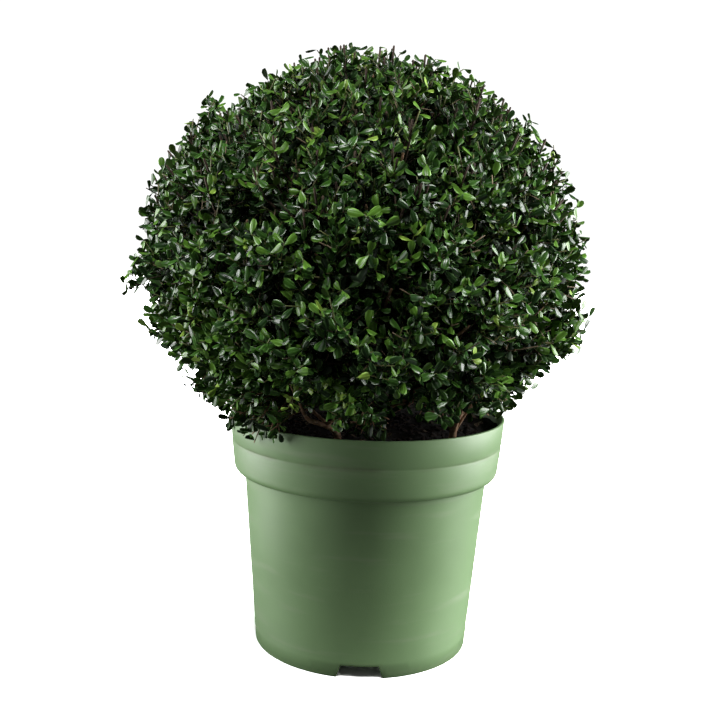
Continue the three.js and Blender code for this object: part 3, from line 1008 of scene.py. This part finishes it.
# Sets leaves on bent twigs: each leans off its twig, its upper face to the twig's tip, and leans out
# further until it fits the space, or is left out
def leavesOn(twigs, kind, inSpace):
    f = leafSet
    count, each = len(twigs["start"]), len(kind["shares"])
    size, number = (count, each), np.arange(each)
    share = np.array(kind["shares"]) + draw.uniform(-f["shift"], f["shift"], size)
    share = (np.clip(share, f["lowest"], 1) * twigs["leafEnd"][:, None])[..., None]
    ends = threePoints(twigs)[:, :, None]
    root, way = bezier(*ends, share), bezierWay(*ends, share)
    turn = draw.random((count, 1)) * fullTurn + number * goldenAngle
    side = sideways(way, turn + draw.uniform(-f["turnSpread"], f["turnSpread"], size))
    atTip = number >= each - kind["tipLeaves"]
    length = f["length"] * (1 + draw.uniform(-1, 1, size) * f["lengthSpread"])
    length = length * twigs["leafSize"][:, None] * np.where(atTip, f["tipSize"], 1)
    lean = np.array(kind["leans"]) + draw.normal(0, f["leanSpread"], size)
    for _ in range(f["leanTries"]):
        angle = np.radians(lean)[..., None]
        blade = way * np.cos(angle) + side * np.sin(angle)
        reach = blade * length[..., None]
        fits = inSpace(root + reach, twigs) & inSpace(root + reach * 0.5, twigs)
        lean = np.where(fits, lean, np.minimum(lean + f["leanStep"], f["leanMost"]))
    across = unit(np.cross(blade, way))
    leaves = {
        "root": root,
        "across": across,
        "blade": blade,
        "face": np.cross(across, blade),
        "length": length,
        "width": f["width"] * (1 + draw.uniform(-1, 1, size) * f["widthSpread"]),
        "fold": draw.uniform(*f["fold"], size),
        "curl": draw.uniform(*f["curl"], size),
        "tint": np.where(atTip, twigs["tipTint"][:, None], twigs["tint"][:, None]),
    }
    leaves = {label: values.reshape(-1, *values.shape[2:]) for label, values in leaves.items()}
    return pick(leaves, fits.ravel())


tintSet = {  # shares of inner, deep, mid, fresh and pale
    "olderAndShaded": (0.74, 0.24, 0.02, 0.0, 0.0),  # in the older leaves further in, mostly the darkest tint: painted shade on top of their own darker colour
    "tip": (0.0, 0.15, 0.50, 0.31, 0.04),
    "inside": 0.022,  # the darkest tint, painted shade, is dealt only from this far in from the outline
}


def dealTints(low):
    oldAndShaded, tip = (draw.choice(5, (2, len(low)), p=tintSet[label]) for label in ("olderAndShaded", "tip"))
    return oldAndShaded[0], np.where(low, oldAndShaded[1], tip[0])


# Side twigs off the leafy stretch of each shoot, and the leaves of both
sideSet = {
    "at": (0.45, 0.64, 0.80),
    "atSpread": 0.06,
    "atEnds": (0.05, 0.92),
    "brightFrom": 0.6,  # side twigs nearer the foot have only the older leaves, darkened further as painted shade
    "length": (0.014, 0.027),
    "forward": 0.95,
    "curve": 0.25,
    "radius": 0.00075,
    "tipRadius": 0.00045,
    "rings": 3,
    "sides": 3,
    "freshBands": 2,
    "shares": (0.40, 0.68, 0.87, 1.0),
    "leans": (56, 50, 43, 33),
    "tipLeaves": 2,
}


def growSides(twigs, at):
    s = sideSet
    count = len(twigs["start"])
    share = np.clip(at + draw.uniform(-s["atSpread"], s["atSpread"], count), *s["atEnds"])[:, None]
    ends = threePoints(twigs)
    root, way = bezier(*ends, share), bezierWay(*ends, share)
    side = sideways(way, draw.random(count) * fullTurn)
    reach = unit(side + way * s["forward"])
    length = draw.uniform(*s["length"], count)[:, None]
    sides = dict(twigs, start=root, leafEnd=np.ones(count))
    sides["bend"] = root + reach * length * 0.5
    sides["end"] = root + reach * length + way * length * s["curve"]
    # twigs near the foot, and hanging ones, take the darker tints: painted shade
    sides["tipTint"] = dealTints(twigs["low"] | (at < s["brightFrom"]))[1]
    return sides


def clothe(twigs, kind, inSpace):
    leaves, wood = [leavesOn(twigs, kind, inSpace)], []
    for at in sideSet["at"]:
        sides = growSides(twigs, at)
        sides = pick(sides, inSpace(sides["end"], sides))
        leaves.append(leavesOn(sides, sideSet, inSpace))
        wood.append(twigTubes(sides, sideSet, sides["tipTint"] >= midGreen))
    return stackLeaves(leaves), wood


# Crown: a leader and limbs by the golden angle, as in the solids, then finer shoots to the outline
leaderSet = {
    "radius": 0.0075,
    "tipRadius": 0.005,
    "length": 0.090,
    "forks": (0.35, 0.6, 0.8, 0.97),
    "rings": 8,
    "sides": 10,
}
limbSet = {
    "count": 120,
    "lowest": -0.55,
    "sunk": 0.012,
    "reach": 0.12,
    "lift": 0.28,
    "wander": 0.22,
    "arch": 0.02,
    "radius": 0.0034,
    "tipRadius": 0.0010,
    "rings": 9,
    "sides": 6,
}
shootSet = {
    "seed": 5,
    "count": 2750,
    "lowest": -0.70,
    "jitter": 0.018,
    "least": 0.02,
    "leafy": 0.055,  # length of the outer stretch that has leaves
    "leafyMost": 0.95,
    "trim": 0.0185,
    "from": (0.5, 0.97),  # share of the limb, further back for shoots that turn away from it
    "fromApart": 1.3,
    "fromSpread": 0.12,
    "lift": 1.15,  # how far the tips turn up
    "liftAbove": -0.35,
    "waySpread": 0.16,
    "bendShare": 0.6,
    "bendMost": 0.05,
    "tipSpread": 0.006,
    "tipMost": 0.009,
    "hollow": 0.044,
    "hollowScale": 8.2,
    "hollowPlace": (3.1, 1.7, 0.4),
    "hollowGain": 1.9,
    "hollowBase": 0.26,
    "hollowMost": 1.15,
    "beltHollow": 0.21,  # more hollows round the middle, where the shears cut less close
    "beltFade": 1.6,
    "radius": 0.0010,
    "tipRadius": 0.00055,
    "rings": 8,
    "sides": 3,
    "freshBands": 2,
    "shares": (0.36, 0.50, 0.62, 0.73, 0.82, 0.89, 0.95, 1.0),
    "leans": (62, 58, 54, 50, 46, 41, 35, 27),
    "tipLeaves": 4,
    "leafSizes": (1.03, 0.92),  # round the middle, and at the top where the shears cut most
    "sizeHeights": (0.15, 0.85),
    "bare": 0.24,  # share of the upper shoots with a clipped bare end
    "bareAbove": 0.3,
    "bareTrim": 0.001,
    "bareDepth": 0.15,
    "bareLength": 0.018,
    "bareSpread": (0.7, 1.3),
    "bareRadius": 0.0013,
    "strays": (((-1.0, 0.0, 0.03), 0.028), ((-0.644, 0.0, 0.765), 0.020)),  # way, how far past the rest
    "strayMost": 0.018,
    "paintedLightSide": (-0.60, -0.62, -0.50),  # the shoots this way, low at the front left, have bright leaves all along: painted light
    "paintedLightFrom": 0.84,
    "dents": (  # way, depth and breadth in radians, and one side that stands out instead
        ((-0.46, 0.0, 0.88), 0.016, 0.2),
        ((0.47, 0.0, 0.88), 0.013, 0.18),
        ((0.97, 0.0, -0.16), -0.009, 0.3),
    ),
}


def goldenWays(count, lowest):
    index = np.arange(count)
    height = 1 - 2 * (index + 0.5) / count
    flat = np.sqrt(1 - height**2)
    ways = np.stack([flat * np.cos(index * goldenAngle), flat * np.sin(index * goldenAngle), height], 1)
    return ways[height >= lowest]


def leaderPoint(share):
    foot = trunkPoint(1.0)
    return foot + unit(foot - trunkPoint(0.98)) * leaderSet["length"] * share


def growLimbs():
    b = limbSet
    outward = goldenWays(b["count"], b["lowest"])
    atCore, atOutline = runTo(outward, coreSet), runTo(outward, crownSet)
    lift = np.where(outward[:, 2] > 0, b["lift"], 0)
    drift = np.stack([*draw.uniform(-b["wander"], b["wander"], (2, len(outward))), lift], 1)
    atWall = crownCentre + outward * (atCore - b["sunk"])[:, None]
    run = b["sunk"] + (atOutline - atCore) * b["reach"]
    end = atWall + unit(outward + drift) * run[:, None]
    forks = [leaderPoint(share) for share in leaderSet["forks"]]
    forks = np.array(forks + [boughBend(i)[2] for i in range(len(boughSet["names"]))])
    start = forks[nearest(end, forks)]
    bend = between(start, end, 0.5) + upBy(b["arch"]) * np.sign(outward[:, 2:])
    return {"start": start, "bend": bend, "end": end, "way": outward}


def hollowsAt(ways):
    s = shootSet
    spots = [Vector(way) * s["hollowScale"] + Vector(s["hollowPlace"]) for way in ways]
    cloud = np.array([noise.fractal(spot, 1.0, 2.0, 3) for spot in spots])
    belt = s["beltHollow"] * np.clip(1 - s["beltFade"] * np.abs(ways[:, 2]), 0, 1)
    return s["hollow"] * np.clip(cloud * s["hollowGain"] + s["hollowBase"] + belt, 0, s["hollowMost"])


def dentsAt(ways):
    depth = np.zeros(len(ways))
    for way, deepest, breadth in shootSet["dents"]:
        apart = np.arccos(np.clip(ways @ unit(np.array(way)), -1, 1))
        depth += deepest * np.exp(-((apart / breadth) ** 2))
    return depth


def growShoots(limbs):
    s = shootSet
    outward = goldenWays(s["count"], s["lowest"])
    outward = unit(outward + draw.normal(0, s["jitter"], outward.shape))
    count = len(outward)
    extra = np.clip(draw.normal(0, s["tipSpread"], count), -s["tipMost"], s["tipMost"])
    depth, dent = hollowsAt(outward), dentsAt(outward)
    for way, further in s["strays"]:
        stray = (outward @ np.array(way)).argmax()
        extra[stray] = further
        depth[stray] = dent[stray] = 0
    bare = (draw.random(count) < s["bare"]) & (outward[:, 2] > s["bareAbove"])
    trim = np.where(bare, s["bareTrim"] + depth * s["bareDepth"], s["trim"] + depth) + dent
    tip = crownCentre + outward * (runTo(outward, crownSet) - trim + extra)[:, None]
    host = (outward @ limbs["way"].T).argmax(1)
    apart = np.arccos(np.clip((outward * limbs["way"][host]).sum(1), -1, 1))
    share = s["from"][1] - apart * s["fromApart"] - draw.random(count) * s["fromSpread"]
    start = bezier(*threePoints(limbs)[:, host], np.clip(share, *s["from"])[:, None])
    lift = np.where(outward[:, 2:] > s["liftAbove"], s["lift"], 0) * upBy(1.0)
    arrive = unit(outward + lift + draw.normal(0, s["waySpread"], (count, 3)))
    run = np.linalg.norm(tip - start, axis=1, keepdims=True)
    bend = tip - arrive * np.minimum(run * s["bendShare"], s["bendMost"])
    low = np.zeros(count, bool)
    tint, tipTint = dealTints(low)
    # bright tints low at the front left are painted light
    paintedLit = outward @ unit(np.array(s["paintedLightSide"])) > s["paintedLightFrom"]
    tipTint = np.where(paintedLit, np.maximum(tipTint, midGreen), tipTint)
    shorter = np.where(bare, s["bareLength"] * draw.uniform(*s["bareSpread"], count), 0)
    length = np.linalg.norm(tip - bend, axis=1) + np.linalg.norm(bend - start, axis=1)
    length = np.maximum(length, s["least"])
    sizes = np.interp(outward[:, 2], s["sizeHeights"], s["leafSizes"])
    return {
        "start": start,
        "bend": bend,
        "end": tip,
        "way": outward,
        "tint": np.where(paintedLit, tipTint, tint),
        "tipTint": tipTint,
        "low": low,
        "bare": bare,
        "leafEnd": 1 - shorter / np.minimum(length * s["leafyMost"], s["leafy"]),
        "leafyShare": np.minimum(s["leafy"] / length, s["leafyMost"]),
        "leafSize": draw.uniform(*leafSet["twigSize"], count) * sizes,
        "slack": np.minimum(extra, s["strayMost"]) - dent,
    }


# The outer stretch of each shoot as a twig of its own, for the leaves
def leafyPart(shoots):
    cut = (1 - shoots["leafyShare"])[:, None]
    near = between(shoots["start"], shoots["bend"], cut)
    far = between(shoots["bend"], shoots["end"], cut)
    return dict(shoots, start=between(near, far, cut), bend=far)


# Inner sprays: short twigs with old leaves in the darkest tint, painted shade, off each limb, so that
# no light comes through the ball
innerSet = {
    "count": 1500,
    "jitter": 0.03,
    "depth": (0.050, 0.110),
    "nearest": 0.03,  # to the crown's centre
    "from": (0.45, 0.85),
    "length": 0.045,
    "bendSpread": 0.004,
    "size": 1.3,
    "radius": 0.0008,
    "tipRadius": 0.0006,
    "rings": 4,
    "sides": 3,
    "shares": (0.3, 0.45, 0.6, 0.72, 0.82, 0.91, 1.0),
    "leans": (66, 64, 62, 60, 58, 54, 48),
    "tipLeaves": 0,
}


def growInner(limbs):
    i = innerSet
    outward = goldenWays(i["count"], shootSet["lowest"])
    outward = unit(outward + draw.normal(0, i["jitter"], outward.shape))
    count = len(outward)
    depth = draw.uniform(*i["depth"], count)
    end = crownCentre + outward * np.maximum(runTo(outward, crownSet) - depth, i["nearest"])[:, None]
    host = (outward @ limbs["way"].T).argmax(1)
    start = bezier(*threePoints(limbs)[:, host], draw.uniform(*i["from"], (count, 1)))
    run = np.maximum(np.linalg.norm(end - start, axis=1, keepdims=True), 1e-6)
    start = end - (end - start) * np.minimum(1, i["length"] / run)
    return {
        "start": start,
        "bend": (start + end) / 2 + draw.normal(0, i["bendSpread"], (count, 3)),
        "end": end,
        "tint": np.full(count, innerOldAndShadedGreen),
        "tipTint": np.full(count, innerOldAndShadedGreen),
        "leafEnd": np.ones(count),
        "leafSize": np.full(count, i["size"]),
        "slack": np.zeros(count),
    }


# Fine dead twigs in among the shoots, seen in the hollows
fineSet = {
    "from": (0.45, 0.9),
    "length": (0.012, 0.032),
    "outward": 0.6,
    "waySpread": 0.6,
    "tipSpread": 0.15,
    "within": 0.006,
    "radius": 0.00055,
    "tipRadius": 0.0004,
    "rings": 4,
    "sides": 3,
}


def growFine(shoots):
    f = fineSet
    count = len(shoots["start"])
    start = bezier(*threePoints(shoots), draw.uniform(*f["from"], (count, 1)))
    way = unit(shoots["way"] * f["outward"] + draw.normal(0, f["waySpread"], (count, 3)))
    length = draw.uniform(*f["length"], (count, 1))
    bend = start + way * length * 0.5
    end = start + way * length + draw.normal(0, f["tipSpread"], (count, 3)) * length
    fine = {"start": start, "bend": bend, "end": end}
    return pick(fine, pastWall(end, crownSet) < -f["within"])


# Joined leaves in sectors, each under the limit of triangles
crownPieces = {"leafTriangles": 190000}


def leafPieces(name, leaves, shape, node):
    sectors = math.ceil(len(leaves["root"]) * len(shape[2]) / crownPieces["leafTriangles"])
    offset = leaves["root"] - crownCentre
    order = np.argsort(np.arctan2(offset[:, 1], offset[:, 0]), kind="stable")
    for number, chosen in enumerate(np.array_split(order, sectors), 1):
        handOver(leafPiece(f"{name}_{number}", pick(leaves, chosen), leafTints, shape), "leaf", node)


def makeCrown():
    s = shootSet
    reseed(s["seed"])
    limbs = growLimbs()
    shoots = growShoots(limbs)
    leaves, twigs = clothe(leafyPart(shoots), s, inCrown)
    # leaves near the outline never take the darkest tint, which is painted shade further in
    outer = pastWall(leaves["root"], crownSet) > -tintSet["inside"]
    leaves["tint"] = np.where(outer, np.maximum(leaves["tint"], deepGreen), leaves["tint"])
    fresh = (shoots["tipTint"] >= midGreen) & ~shoots["bare"]
    twigs.append(twigTubes(shoots, s, fresh, np.where(shoots["bare"], s["bareRadius"], 0)[:, None]))
    points, corners, slots = twigTubes(growFine(shoots), fineSet)
    twigs.append((points, corners, slots + 2))  # these have the third bark
    leader = np.linspace(leaderPoint(0), leaderPoint(1), leaderSet["rings"])[None]
    wood = [tubeArrays(leader, taperRadii(leaderSet, 1), leaderSet), twigTubes(limbs, limbSet)]
    handOver(woodPiece("crown_limbs", wood, [oldBark]), "bark", "clipped_ball")
    handOver(woodPiece("crown_twigs", twigs, [youngBark, greenStem, deadBark]), "bark", "clipped_ball")
    inner = growInner(limbs)
    # the darkest leaves, painted shade, go into the inner pieces
    dark = leaves["tint"] == innerOldAndShadedGreen
    shade = stackLeaves([leavesOn(inner, innerSet, inCrown), pick(leaves, dark)])
    leafPieces("crown_leaves", pick(leaves, ~dark), fineBlade, "clipped_ball")
    leafPieces("crown_inner_leaves", shade, coarseBlade, "clipped_ball")
    wood = [twigTubes(inner, innerSet)]
    handOver(woodPiece("crown_inner_twigs", wood, [youngBark]), "bark", "clipped_ball")
    print("crown made:", len(leaves["root"]), "leaves on", len(shoots["start"]), "shoots")


# Low sprays: limbs on from each low stem, then twigs fanned out under the ball, some over the rim
spraySet = {
    "firstSeed": 40,
    "paintedLit": (0, 4),  # sprays with bright leaves all along, at the front left and left: painted light
    "shoots": 46,
    "fans": ((-38, 20), (-22, 36), (-34, 34), (-34, 34), (-34, 34)),  # degrees either side of each stem
    "fanSpread": 3,
    "reach": (0.112, 0.176),
    "height": (0.268, 0.322),
    "hangs": (  # spray, from, to, count, reach and height, over the rim or down in front of the trunk
        (0, -42, -10, 6, (0.153, 0.162), (0.250, 0.262)),
        (0, 11, 26, 8, (0.112, 0.130), (0.268, 0.284)),
        (1, 11, 18, 2, (0.153, 0.160), (0.249, 0.259)),
        *((spray, -30, 30, 3, (0.153, 0.162), (0.250, 0.262)) for spray in (2, 3, 4)),
    ),
    "from": (0.5, 1.0),
    "bendAt": 0.55,
    "arch": 0.012,
    "radius": 0.0011,
    "tipRadius": 0.0006,
    "rings": 7,
    "sides": 4,
    "freshBands": 1,
    "shares": (0.40, 0.53, 0.64, 0.75, 0.85, 0.93, 1.0),
    "leans": (62, 59, 55, 51, 45, 38, 30),
    "tipLeaves": 3,
    "rimClear": 0.0008,
    "wallClear": 0.002,
    "soilClear": 0.004,
    "checkedAt": (0.5, 0.75, 1.0),
    # degrees, half breadth and lowest leaf
    "clearings": ((-113, 9, 0.282), (-71, 9, 0.275), (-42, 13, 0.279)),
    "slack": 0.006,
    "hangSlack": 0.022,
}
sprayLimbSet = {
    "count": 4,  # the first goes on from the stem's tip
    "given": (  # spray, share of the stem and end of each limb that the photo shows
        (0, 0.35, (-0.087, -0.115, 0.298)),
        (1, 0.15, (0.066, -0.085, 0.288)),
        (1, 0.10, (0.112, -0.075, 0.288)),
    ),
    "tip": (0.150, 0.304),  # reach and height of the first
    "reach": (0.116, 0.140),
    "height": (0.276, 0.300),
    "fanShare": 0.85,
    "from": (0.1, 0.7),
    "arch": 0.006,
    "radius": 0.0018,
    "tipRadius": 0.0010,
    "thinning": 1.4,
    "rings": 12,
    "sides": 8,
}


def clearOfPot(points):
    s, p = spraySet, potSet
    radius = np.hypot(points[..., 0], points[..., 1])
    z = points[..., 2]
    overRim = z > p["rimHeight"] + s["rimClear"]
    outside = radius > p["rimRadius"] + s["rimClear"]
    within = radius < p["rimRadius"] - p["wall"] - s["wallClear"]
    return overRim | outside | (within & (z > soilSet["level"] + s["soilClear"]))


def inSpray(points, twigs):
    fits = inRoom(points, twigs, sprayRoom) & clearOfPot(points)
    around = np.degrees(np.arctan2(points[..., 1], points[..., 0]))
    for middle, half, lowest in spraySet["clearings"]:
        fits &= (np.abs(around - middle) > half) | (points[..., 2] > lowest)
    return fits


def fanned(index, degrees, reach, height, centre):
    angle = np.radians(stemDegrees(index) + degrees)
    spots = np.stack([reach * np.cos(angle), reach * np.sin(angle), height], 1)
    spots[:, 0] += centre
    return spots


def growSprayLimbs(index):
    s, k = spraySet, sprayLimbSet
    count = k["count"]
    degrees = np.append(0, np.linspace(*s["fans"][index], count - 1) * k["fanShare"])
    degrees = degrees + draw.normal(0, s["fanSpread"], count)
    reach, height = draw.uniform(*k["reach"], count), draw.uniform(*k["height"], count)
    end = fanned(index, degrees, reach, height, 0)
    end[0] = fanned(index, degrees[:1], *np.array(k["tip"])[:, None], crownCentre[0])
    shares = np.append(1.0, draw.permutation(np.linspace(*k["from"], count - 1)))
    given = [(share, spot) for spray, share, spot in k["given"] if spray == index]
    for row, (share, spot) in enumerate(given, 1):
        shares[row], end[row] = share, spot
    start = np.array([stemPath(index, share) for share in shares])
    bend = between(start, end, 0.5) + upBy(k["arch"])
    onward = unit(stemPath(index, 1.0) - stemPath(index, 0.95))
    bend[0] = start[0] + onward * np.linalg.norm(end[0] - start[0]) * 0.5
    radii = taperRadii(k, count)
    thinner = np.linspace(1, 0, k["rings"]) ** k["thinning"]
    radii[0] = between(k["tipRadius"], stemSet["tipRadius"], thinner)
    return {"start": start, "bend": bend, "end": end, "radii": radii}


def growSpray(index, limbs):
    s = spraySet
    count = s["shoots"]
    degrees = np.linspace(*s["fans"][index], count) + draw.normal(0, s["fanSpread"], count)
    reach, height = draw.uniform(*s["reach"], count), draw.uniform(*s["height"], count)
    ends = [fanned(index, degrees, reach, height, crownCentre[0])]
    for spray, first, last, hanging, reaches, heights in s["hangs"]:
        if spray == index:
            reach, height = draw.uniform(*reaches, hanging), draw.uniform(*heights, hanging)
            ends.append(fanned(index, draw.uniform(first, last, hanging), reach, height, 0))
    end = np.concatenate(ends)
    # the hanging twigs, in under the ball, take the darker tints as painted shade
    low = np.arange(len(end)) >= count
    count = len(end)
    tint, tipTint = dealTints(low)
    # bright tints on these sprays are painted light
    if index in s["paintedLit"]:
        tint = tipTint = np.maximum(tipTint, midGreen)
    host = nearest(end, limbs["end"])
    start = bezier(*threePoints(limbs)[:, host], draw.uniform(*s["from"], (count, 1)))
    twigs = {
        "start": start,
        "bend": between(start, end, s["bendAt"]) + upBy(s["arch"]),
        "end": end,
        "tint": np.maximum(tint, deepGreen),
        "tipTint": np.maximum(tipTint, deepGreen),
        "low": low,
        "leafEnd": np.ones(count),
        "leafSize": draw.uniform(*leafSet["twigSize"], count),
        "slack": np.where(low, s["hangSlack"], s["slack"]),
    }
    far = np.stack([bezier(*threePoints(twigs), share) for share in s["checkedAt"]], 1)
    return pick(twigs, inSpray(far, twigs).all(1))


def makeSprays():
    s, k = spraySet, sprayLimbSet
    total = 0
    for index, place in enumerate(stemSet["names"]):
        reseed(s["firstSeed"] + index)
        limbs = growSprayLimbs(index)
        twigs = growSpray(index, limbs)
        leaves, wood = clothe(twigs, s, inSpray)
        wood.append(twigTubes(twigs, s, twigs["tipTint"] >= freshGreen))
        wood.append(tubeArrays(bentPaths(limbs, k["rings"]), limbs["radii"], k))
        node = f"low_spray_{place}"
        handOver(leafPiece(f"{node}_leaves", leaves, leafTints), "leaf", node)
        handOver(woodPiece(f"{node}_twigs", wood, [oldBark, greenStem]), "bark", node)
        total += len(leaves["root"])
    print("low sprays made:", total, "leaves")


# Fallen leaves lie flat on the soil
litterSet = {
    "seed": 9,
    "count": 60,
    "reach": 0.136,
    "lift": 0.0022,
    "tilt": 0.25,
    "size": (0.7, 1.1),
    "fold": (0, 0.5),
    "curl": (0, 0.3),
}


def makeLitter():
    t = litterSet
    reseed(t["seed"])
    count = t["count"]
    reach = t["reach"] * np.sqrt(draw.random(count))
    angle, heading = draw.random((2, count)) * fullTurn
    x, y = reach * np.cos(angle), reach * np.sin(angle)
    z = np.array([soilLevel(*spot) for spot in zip(x, y)]) + t["lift"]
    cos, sin = np.cos(heading), np.sin(heading)
    across = unit(np.stack([sin, -cos, draw.uniform(-t["tilt"], t["tilt"], count)], 1))
    blade = unit(np.stack([cos, sin, draw.uniform(0, t["tilt"], count)], 1))
    leaves = {
        "root": np.stack([x, y, z], 1),
        "across": across,
        "blade": blade,
        "face": np.cross(across, blade),
        "length": leafSet["length"] * draw.uniform(*t["size"], count),
        "width": np.full(count, leafSet["width"]),
        "fold": draw.uniform(*t["fold"], count),
        "curl": draw.uniform(*t["curl"], count),
        "tint": np.zeros(count, int),
    }
    handOver(leafPiece("fallen_leaves", leaves, [deadLeaf]), "leaf")
    print("fallen leaves made")


makeCamera()
makeStudio()
makePot()
makeSoil()
makeChips()
makeLimbs()
makeCrown()
makeSprays()
makeLitter()

triangles = sum(len(piece.data.loop_triangles) or len(piece.data.polygons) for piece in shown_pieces())
print("faces in all:", triangles)
